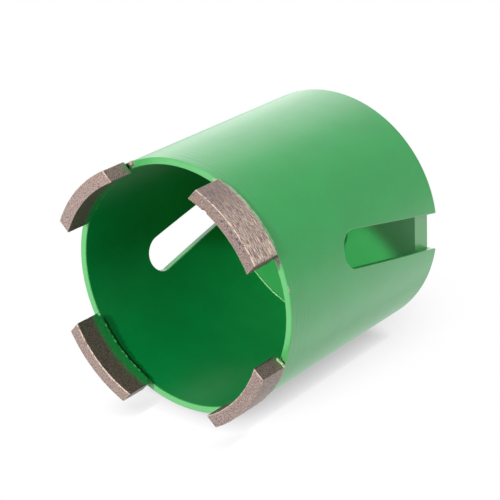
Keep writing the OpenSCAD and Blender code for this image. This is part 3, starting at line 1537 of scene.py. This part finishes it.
@dataclass
class Segment:
    """One sintered segment: parallel ends, a set-in foot, hollowed lower corners and worn, chipped edges.

    Lengths are in metres.

    Attributes:
        node: The CAD node that it stands for.
        size: Radii and heights of that node.
        barrel: The barrel that it is welded to.
        chips: Where its edges have broken away.
        hollows: The ends whose lower corner the weld left hollow, -1 or 1.
        width: Its length, straight across between its ends.
        foot_h: Height of its foot.
        hollow_r: Radius of the hollow at a lower corner.
        edge: Width of its worn edges.
        voxel: Size of the even mesh that its skin is made of.
        skins: Name, grain and depth of each layer of its rough skin.
    """

    node: str
    size: Turned
    barrel: Barrel
    chips: tuple[Mark, ...] = ()
    hollows: tuple[int, ...] = (-1, 1)
    width: float = 24.0 * MM
    foot_h: float = 0.45 * MM
    hollow_r: float = 1.5 * MM
    edge: float = 0.22 * MM
    voxel: float = 0.15 * MM
    skins: tuple[tuple[str, float, float], ...] = (
        ("wander", 1.6 * MM, 0.10 * MM),
        ("grain", 0.45 * MM, 0.06 * MM),
    )

    def blank(self) -> Piece:
        """Sweeps the section round the axis and cuts both ends and the lower corners.

        Returns:
            The blank, with its middle on +X.
        """
        inner, outer, low, high = self.size.inner, self.size.outer, self.size.low, self.size.high
        bore, wall, foot = self.barrel.size.inner, self.barrel.size.outer, low + self.foot_h
        section = ((bore, low), (wall, low), (wall, foot), (outer, foot),
                   (outer, high), (inner, high), (inner, foot), (bore, foot))
        half = math.asin(self.width / 2 / inner) + math.radians(2)
        start = about_axis(half)
        blank = outline("segment_blank", [start @ Vector((r, 0, z)) for r, z in section], closed_face=True)
        with editing(blank):
            bpy.ops.mesh.select_all(action="SELECT")
            bpy.ops.mesh.spin(steps=48, angle=2 * half, center=(0, 0, 0), axis=(0, 0, 1))
            bpy.ops.mesh.select_all(action="SELECT")
            bpy.ops.mesh.normals_make_consistent(inside=False)
            for side in (-1, 1):
                bpy.ops.mesh.select_all(action="SELECT")
                bpy.ops.mesh.bisect(plane_co=(0, side * self.width / 2, 0), plane_no=(0, side, 0),
                                    use_fill=True, clear_outer=True)
        for side in self.hollows:
            hollow = primitive(Stock.CYLINDER, "hollow", vertices=32, radius=self.hollow_r,
                               depth=4 * self.width, rotation=(0, math.pi / 2, 0),
                               location=(0, side * self.width / 2, low))
            cut(blank, hollow)
        sharp, worn_from = math.radians(60), foot + self.hollow_r
        with editing(blank):
            pick(blank, Pick.EDGES, lambda e: len(e.link_faces) == 2 and e.calc_face_angle() > sharp
                 and min(v.co.z for v in e.verts) > worn_from)
            bpy.ops.mesh.bevel(offset=self.edge, segments=2, affect="EDGES")
        return blank

    def break_edges(self, piece: Piece) -> None:
        """Cuts the chips out of a segment that already stands at its station."""
        for i, chip in enumerate(self.chips):
            tool = primitive(Stock.BALL, "chip", subdivisions=1, radius=chip.size * MM,
                             location=chip.place(), rotation=(0.7 * i, 1.1 * i, 0.4), scale=(1.0, 1.4, 0.8))
            cut(piece, tool)

    def build(self, blank: Piece) -> Piece:
        """Copies the blank to this segment's station, chips it and gives it its sintered skin.

        Args:
            blank: The blank, with its middle on +X.

        Returns:
            The segment.
        """
        mesh = blank.data.copy()
        mesh.name = f"{self.node}_sintered"
        mesh.transform(about_axis(station(self.node)))
        piece = linked(mesh.name, mesh)
        self.break_edges(piece)
        apply(piece, Tool.SKIN, mode="VOXEL", voxel_size=self.voxel)
        for name, grain, depth in self.skins:
            displace(piece, f"{self.node}_{name}", grain, depth, layers=3, middle=0.9)
        smooth(piece, 50.0)
        return piece

    def make(self, blank: Piece, number: int, wear: Wear, finishes: Finishes) -> Piece:
        """Builds the segment and gives it its metal.

        Args:
            blank: The blank, with its middle on +X.
            number: The segment's number.
            wear: What sets it apart.
            finishes: The materials, for their shared groups.

        Returns:
            The segment.
        """
        metal = SinteredMetal(f"sintered_{number}", self.size, station(self.node), wear)
        return dressed(self.build(blank), (metal.material(finishes.effects),), Slot.SINTER, self.node)

    def welds(self, number: int, finishes: Finishes) -> list[Piece]:
        """Lays the two painted beads along the foot, inside and outside.

        Args:
            number: The segment's number.
            finishes: The materials.

        Returns:
            The two beads.
        """
        middle, rim = station(self.node), self.size.low
        half = math.asin((self.width / 2 - self.hollow_r) / self.size.outer)
        inner, outer = self.size.inner + 0.42 * MM, self.barrel.size.outer + 0.22 * MM
        beads = []
        for side, radius, height, thickness, lumps, finish in (
            ("inner", inner, rim + 0.42 * MM, 0.34 * MM, 0.55, finishes.thin_paint_and_highlight),
            # The outer bead's pale coat is partly a painted highlight.
            ("outer", outer, rim - NEAR, 0.40 * MM, 0.25, finishes.rubbed_paint_and_highlight),
        ):
            bead = Bead(f"{self.node}_weld_{side}", radius, height, thickness, middle - half, middle + half,
                        lumps=lumps, seed=number).build()
            beads.append(dressed(bead, (finish,), Slot.PAINT))
        return beads


TIP_PORES = tuple(
    Mark(angle, radius, 78.9, size)
    for angle, radius, size in (
        (52.6, 33.0, 0.35), (43.3, 34.4, 0.40), (40.2, 34.9, 0.35), (37.3, 34.6, 0.40), (33.7, 34.9, 0.45),
        (31.6, 35.0, 0.50), (28.3, 34.9, 0.35), (35.5, 33.8, 0.25), (30.0, 34.2, 0.30),
    )
)


@dataclass
class Crown:
    """The ring of four segments on the barrel's rim, with their welds.

    Attributes:
        barrel: The barrel that carries it.
        wears: What sets each segment apart.
        chips: Where each segment's edges have broken away.
        hollows: The ends at which each segment's weld left a hollow.
    """

    barrel: Barrel
    wears: tuple[Wear, ...] = (
        Wear(spray=0.3, tone=0.80, inside=0.3, ends=0.5, edges=(0.8, 0.2, 0.3), rust=0.45, warm_end=1.0,
             scores=0.75, seed=0.011, pores=TIP_PORES),
        Wear(spray=3.6, tone=1.0, inside=0.85, ends=0.62, edges=(0.2, 0.1, 0.75), rust=0.2, warm_end=-1.0,
             scores=0.1, seed=0.023),
        Wear(spray=4.4, tone=0.90, inside=0.9, ends=0.6, edges=(0.3, 0.7, 0.4), rust=0.3, warm_end=1.0,
             scores=0.1, seed=0.037),
        Wear(spray=2.3, tone=0.86, inside=0.8, ends=0.8, edges=(0.3, 0.5, 0.8), rust=0.2, warm_end=1.0,
             scores=0.2, seed=0.041),
    )
    chips: tuple[tuple[Mark, ...], ...] = (
        (Mark(52.1, 32.35, 79.0, 0.75), Mark(30.6, 36.0, 79.1, 0.7), Mark(38.0, 36.0, 79.1, 0.45)),
        (),
        (),
        (),
    )
    hollows: tuple[tuple[int, ...], ...] = ((), (-1, 1), (-1, 1), (-1,))

    def make(self, finishes: Finishes) -> list[Piece]:
        """Builds the four segments, each with its two weld beads.

        Args:
            finishes: The materials.

        Returns:
            The segments and beads.
        """
        size = Turned.of(SEGMENTS[0])
        kinds = dict.fromkeys(self.hollows)
        blanks = {ends: Segment("blank", size, self.barrel, hollows=ends).blank() for ends in kinds}
        pieces = []
        each = zip(SEGMENTS, self.wears, self.chips, self.hollows)
        for number, (node, wear, chips, hollows) in enumerate(each, 1):
            segment = Segment(node, size, self.barrel, chips, hollows)
            pieces.append(segment.make(blanks[hollows], number, wear, finishes))
            pieces += segment.welds(number, finishes)
        for blank in blanks.values():
            bpy.data.objects.remove(blank)
        return pieces

    @staticmethod
    def lumps(finishes: Finishes) -> list[Piece]:
        """Sets the lumps of weld beside three of the segments.

        Args:
            finishes: The materials.

        Returns:
            The lumps.
        """
        bare, ledge = finishes.weld, finishes.ledge
        pieces = []
        for name, mark, stretch, turn, finish in (
            ("weld_lump_2", Mark(108.3, 34.65, 69.15, 0.85), (0.95, 1.35, 0.62), None, bare),
            ("weld_lump_1_upper", Mark(61.3, 34.7, 69.35, 0.48), (1.3, 0.9, 0.9), None, ledge),
            ("weld_lump_1_lower", Mark(19.3, 34.9, 69.3, 0.38), (1.2, 1.3, 0.8), None, bare),
            ("weld_ledge_4", Mark(331.9, 34.5, 70.1, 0.8), (2.0, 0.58, 0.74), station("segment_4"), ledge),
        ):
            pieces.append(dressed(Lump(name, mark, stretch, turn).build(), (finish,), Slot.PAINT))
        return pieces


# The studio


@dataclass(frozen=True)
class Lamp:
    """A square soft lamp that faces the part. Lengths are in metres.

    Attributes:
        name: Its name.
        way: Where it hangs from what it faces, in the photograph's own terms, as Studio.towards takes them.
        distance: How far away it hangs.
        size: Length of its side.
        watts: Its power.
        aim: The point that it faces.
    """

    name: str
    way: Triple
    distance: float
    size: float
    watts: float
    aim: Triple = (0.0, 0.0, 40 * MM)


@dataclass(frozen=True)
class Shade:
    """A soft shade on the ground, where the part closes off one side of the sky.

    Attributes:
        way: Middle of the part of the sky that lights the ground, as Studio.towards takes it.
        reach: How far away a surface may be and still close it off, in metres.
        rim: Closed share of the sky that casts no shade yet.
        fall: How much faster than the closed share the shade grows.
        depth: How dark it gets.
        samples: How many rays measure it.
    """

    way: Triple
    reach: float
    rim: float
    fall: float
    depth: float
    samples: int = 40


@dataclass
class Studio:
    """Camera, lamps and ground of the photograph, in which the bit lies on its side.

    Attributes:
        radius: The barrel's radius, which is how high its axis lies above the ground.
        lay: Angle about the axis of the direction that points away from the ground, in degrees.
        target: Point that the camera looks at.
        azimuth: The camera's place round the axis, in degrees, where 0 looks along +Y.
        elevation: Its place above the horizon, in degrees.
        roll: Its turn about its own line of sight, in degrees.
        distance: Its distance from the target, in metres.
        lens: Its focal length in millimetres, on a 36 mm sensor.
        ambient: Strength of the even light from all round.
        ground_size: Length of the ground's side, in metres.
        lamps: The lamps.
        shades: The wide shade under the bit, and the close one where it touches the ground.
    """

    radius: float
    lay: float = 80.89
    target: Triple = (-0.122 * MM, 0.328 * MM, 39.463 * MM)
    azimuth: float = 116.914
    elevation: float = 46.972
    roll: float = -117.996
    distance: float = 454.39 * MM
    lens: float = 119.93
    ambient: float = 0.335
    ground_size: float = 4.0
    lamps: tuple[Lamp, ...] = (
        Lamp("key", (-0.045, 0.380, 0.924), 1.2, 0.075, 11.4, aim=(24 * MM, -6 * MM, 6 * MM)),
        Lamp("back_softbox", (-0.50, 0.30, -0.77), 1.0, 0.9, 2.9),
        Lamp("side_fill", (0.85, 0.45, 0.10), 1.2, 0.8, 3.45),
        Lamp("front_bounce", (-0.552, -0.401, 0.731), 0.6, 0.5, 0.8),
        Lamp("back_bounce", (0.55, -0.42, -0.72), 0.6, 0.5, 0.5),
    )
    shades: tuple[Shade, ...] = (
        Shade((0.15, 0.22, 0.96), reach=80 * MM, rim=0.25, fall=1.23, depth=1.25),
        Shade((-0.99, 0.02, -0.14), reach=6 * MM, rim=0.0, fall=0.7, depth=0.50),
    )

    @property
    def up(self) -> Vector:
        """Direction away from the ground."""
        return Vector((math.cos(math.radians(self.lay)), math.sin(math.radians(self.lay)), 0))

    @property
    def side(self) -> Vector:
        """Direction along the ground, square to the bit, towards the camera's side."""
        return Vector((math.sin(math.radians(self.lay)), -math.cos(math.radians(self.lay)), 0))

    def towards(self, side: float, up: float, mouth: float) -> Vector:
        """A direction in the photograph's own terms: sideways, up from the ground, and out of the mouth."""
        return (self.side * side + self.up * up + Vector((0, 0, mouth))).normalized()

    @staticmethod
    def facing(place: Vector, way: Vector) -> Matrix:
        """A place for a camera or lamp that looks along a direction."""
        return Matrix.Translation(place) @ way.to_track_quat("-Z", "Y").to_matrix().to_4x4()

    def camera(self) -> None:
        """Sets up the camera at the photograph's viewing angle."""
        azimuth, elevation = math.radians(self.azimuth), math.radians(self.elevation)
        flat = math.cos(elevation)
        back = Vector((math.sin(azimuth) * flat, -math.cos(azimuth) * flat, math.sin(elevation)))
        data = bpy.data.cameras.new("camera")
        data.lens = self.lens
        camera = linked("camera", data)
        stand = self.facing(Vector(self.target) + back * self.distance, -back)
        camera.matrix_world = stand @ about_axis(math.radians(self.roll))
        bpy.context.scene.camera = camera

    def hang(self, lamp: Lamp) -> None:
        """Hangs a lamp."""
        data = bpy.data.lights.new(lamp.name, "AREA")
        data.size, data.energy = lamp.size, lamp.watts
        way = self.towards(*lamp.way)
        linked(lamp.name, data).matrix_world = self.facing(Vector(lamp.aim) + way * lamp.distance, -way)

    def world(self) -> None:
        """Lights the part evenly from all round, with plain white to look at, directly or as a reflection."""
        world = bpy.data.worlds.new("studio")
        world.use_nodes = True
        bpy.context.scene.world = world
        w = Wiring(world.node_tree)
        path = w.add("LightPath").outputs
        seen = w.most(w.most(path["Is Camera Ray"], path["Is Glossy Ray"]), path["Is Transmission Ray"])
        level = w.add("MapRange", Value=seen, To_Min=self.ambient, To_Max=1.0)
        background = world.node_tree.nodes["Background"]
        w.join((1.0, 1.0, 1.0, 1.0), background.inputs["Color"])
        w.join(level.outputs["Result"], background.inputs["Strength"])

    def closed(self, w: Wiring, shade: Shade) -> Socket:
        """Wires one shade on the ground.

        Args:
            w: The ground's wiring.
            shade: The shade.

        Returns:
            How dark the ground is by it.
        """
        lean = self.towards(*shade.way)
        normal = w.add("CombineXYZ", X=lean.x, Y=lean.y, Z=lean.z).outputs[0]
        rays = {"samples": shade.samples}
        sky = w.add("AmbientOcclusion", rays, Distance=shade.reach, Normal=normal).outputs["AO"]
        share = w.add("MapRange", Value=sky, From_Min=1.0 - shade.rim, From_Max=0.0).outputs["Result"]
        return w.times(w.math("POWER", share, shade.fall), shade.depth)

    def ground(self) -> None:
        """Lays the white ground against the barrel's side, with the soft shadow that gathers under the bit.

        The camera sees it from above. Reflections show the white of the world in its place.
        """
        ground = primitive(Stock.PLANE, "ground", size=self.ground_size)
        turn = self.up.to_track_quat("Z", "Y").to_matrix().to_4x4()
        ground.data.transform(Matrix.Translation(-self.up * self.radius) @ turn)
        material = bpy.data.materials.new("white_ground")
        material.use_nodes = True
        w = Wiring(material.node_tree)
        material.node_tree.nodes.remove(material.node_tree.nodes["Principled BSDF"])
        front = w.minus(1.0, w.add("NewGeometry").outputs["Backfacing"])
        seen = w.times(w.add("LightPath").outputs["Is Camera Ray"], front)
        white = 1.0
        for shade in self.shades:
            white = w.minus(white, self.closed(w, shade))
        shader = w.add("MixShader", Fac=seen)
        w.join(w.add("BsdfTransparent").outputs[0], shader.inputs[1])
        w.join(w.add("Emission", Strength=w.most(white, 0.0)).outputs[0], shader.inputs[2])
        w.join(shader.outputs[0], material.node_tree.nodes["Material Output"].inputs["Surface"])
        ground.data.materials.append(material)

    def build(self) -> None:
        """Sets up everything round the part."""
        self.camera()
        self.world()
        for lamp in self.lamps:
            self.hang(lamp)
        self.ground()
        bpy.context.scene.view_settings.view_transform = "Standard"


def main() -> None:
    """Builds the part and its studio, and reports each piece."""
    logging.basicConfig(level=logging.INFO, format="%(message)s")
    finishes = Finishes()
    barrel = Barrel(Turned.of("barrel"))
    plate = BackPlate(Turned.of("back_plate"), barrel)
    crown = Crown(barrel)
    pieces = [barrel.make(finishes), plate.make(finishes), *crown.make(finishes)]
    pieces += [*plate.welds(finishes), *crown.lumps(finishes)]
    for piece in pieces:
        LOG.info("%s: %d faces, %s", piece.name, len(piece.data.polygons), piece.data.materials[0].name)
    Studio(barrel.size.outer).build()


if __name__ == "__main__":
    main()
